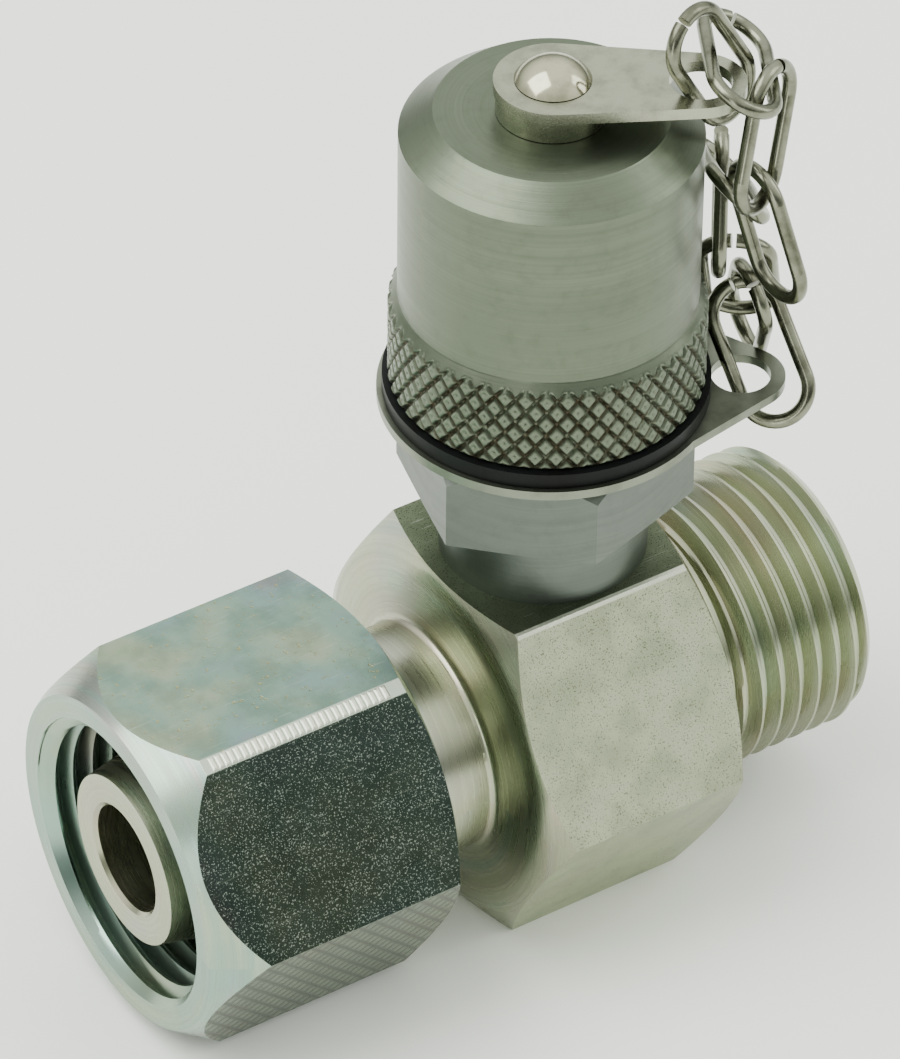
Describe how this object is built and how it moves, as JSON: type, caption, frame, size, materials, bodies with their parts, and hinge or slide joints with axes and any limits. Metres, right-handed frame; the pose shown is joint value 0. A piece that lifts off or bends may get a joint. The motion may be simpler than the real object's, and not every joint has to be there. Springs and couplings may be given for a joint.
{
  "type": "test point coupling",
  "caption": "Steel hydraulic test point coupling: swivel nut inlet, male threaded outlet, and a test point on top under a knurled cap on a chain",
  "frame": {"origin": "where the axis of the flow bore crosses the axis of the test point", "axes": "X is the flow axis: the swivel nut is at -X and the male stud at +X. Z is the test point's axis and points up. Y completes a right-handed set"},
  "size_m": [0.0534, 0.03, 0.069],
  "materials": {
    "zinc_plated_steel": "zinc plate with a thin iridescent chromate film",
    "plated_steel": "grey zinc-nickel plate, satin",
    "satin_steel": "satin turned steel, grey-green plate",
    "polished_nickel": "polished nickel plate",
    "spring_steel": "drawn spring wire",
    "chain_wire": "nickel-plated drawn wire, dull",
    "black_rubber": "black nitrile rubber, slightly glossy"
  },
  "bodies": {
    "fitting": {"body": "zinc_plated_steel", "nut_wire_ring": "spring_steel", "cone_seal": "black_rubber", "test_point": "plated_steel", "port_seal": "black_rubber", "spring_seat": "plated_steel", "probe_seal": "black_rubber", "valve_spring": "spring_steel", "dust_ring": "black_rubber"},
    "nut": {"swivel_nut": "zinc_plated_steel"},
    "valve": {"valve_poppet": "plated_steel", "poppet_seal": "black_rubber"},
    "ring": {"retaining_ring": "plated_steel"},
    "riser": {"rivet": "polished_nickel", "strap_spacer": "satin_steel"},
    "cap": {"cap": "satin_steel", "cap_seal": "black_rubber"},
    "strap": {"strap": "satin_steel"},
    "chain_link_1": {"chain_link_1": "chain_wire"},
    "chain_link_2": {"chain_link_2": "chain_wire"},
    "chain_link_3": {"chain_link_3": "chain_wire"},
    "chain_link_4": {"chain_link_4": "chain_wire"},
    "chain_link_5": {"chain_link_5": "chain_wire"},
    "chain_link_6": {"chain_link_6": "chain_wire"},
    "chain_link_7": {"chain_link_7": "chain_wire"},
    "chain_link_8": {"chain_link_8": "chain_wire"},
    "chain_link_9": {"chain_link_9": "chain_wire"}
  },
  "joints": [
    {"name": "nut_spin", "type": "hinge", "parent": "fitting", "child": "nut", "pos_m": [-0.0235, 0, 0], "axis": [1, 0, 0], "continuous": true},
    {"name": "valve_travel", "type": "slide", "parent": "fitting", "child": "valve", "axis": [0, 0, -1], "range_m": [0, 0.0025], "stiffness_N_per_m": 600, "springref_m": -0.004, "deforming": ["valve_spring"]},
    {"name": "ring_turn", "type": "hinge", "parent": "fitting", "child": "ring", "pos_m": [0, 0, 0.0255], "axis": [0, 0, 1], "continuous": true},
    {"name": "cap_lift", "type": "slide", "parent": "fitting", "child": "riser", "axis": [0, 0, 1], "range_m": [0, 0.0091]},
    {"name": "cap_turn", "type": "hinge", "parent": "riser", "child": "cap", "pos_m": [0, 0, 0.037], "axis": [0, 0, 1], "range_deg": [0, 1620]},
    {"name": "strap_lift", "type": "slide", "parent": "ring", "child": "strap", "axis": [0, 0, 1], "range_m": [0, 0.0091]},
    {"name": "chain_link_1_swing", "type": "hinge", "parent": "strap", "child": "chain_link_1", "pos_m": [0.00548, -0.00601, 0.04985], "axis": [0.4067, -0.9135, 0], "range_deg": [-0.6, 0.6]},
    {"name": "chain_link_2_swing", "type": "hinge", "parent": "chain_link_1", "child": "chain_link_2", "pos_m": [0.01186, -0.00417, 0.0493], "axis": [-0.1614, 0.078, 0.9838], "range_deg": [-1.5, 3.6]},
    {"name": "chain_link_3_swing", "type": "hinge", "parent": "chain_link_2", "child": "chain_link_3", "pos_m": [0.01222, -0.00606, 0.04956], "axis": [0.4695, 0.8829, 0], "range_deg": [-0.6, 0.3]},
    {"name": "chain_link_4_swing", "type": "hinge", "parent": "chain_link_3", "child": "chain_link_4", "pos_m": [0.0105, -0.00826, 0.04193], "axis": [0.8766, 0.4292, 0.2175], "range_deg": [-1.8, 3.6]},
    {"name": "chain_link_5_swing", "type": "hinge", "parent": "chain_link_4", "child": "chain_link_5", "pos_m": [0.01091, -0.00592, 0.03856], "axis": [-0.1284, 0.3346, 0.9336], "range_deg": [-1.5, 3.3]},
    {"name": "chain_link_9_swing", "type": "hinge", "parent": "ring", "child": "chain_link_9", "pos_m": [0.01103, -0.00344, 0.02553], "axis": [-0.9986, -0.0523, 0], "range_deg": [-0.3, 0.9]},
    {"name": "chain_link_8_swing", "type": "hinge", "parent": "chain_link_9", "child": "chain_link_8", "pos_m": [0.01304, -0.00274, 0.03062], "axis": [-0.7513, 0.5933, -0.2891], "range_deg": [-0.6, 0]},
    {"name": "chain_link_7_swing", "type": "hinge", "parent": "chain_link_8", "child": "chain_link_7", "pos_m": [0.01513, 0.00096, 0.02626], "axis": [-0.2401, -0.1521, 0.9588], "range_deg": [-1.2, 3]},
    {"name": "chain_link_6_swing", "type": "hinge", "parent": "chain_link_7", "child": "chain_link_6", "pos_m": [0.01133, -0.00077, 0.03166], "axis": [-0.2988, -0.2988, 0.9063], "range_deg": [-3.6, 1.5]}
  ],
  "couplings": [
    {"joint": "cap_lift", "follows": "cap_turn", "m_per_rad": 0.00031831},
    {"joint": "strap_lift", "follows": "cap_turn", "m_per_rad": 0.00031831}
  ]
}
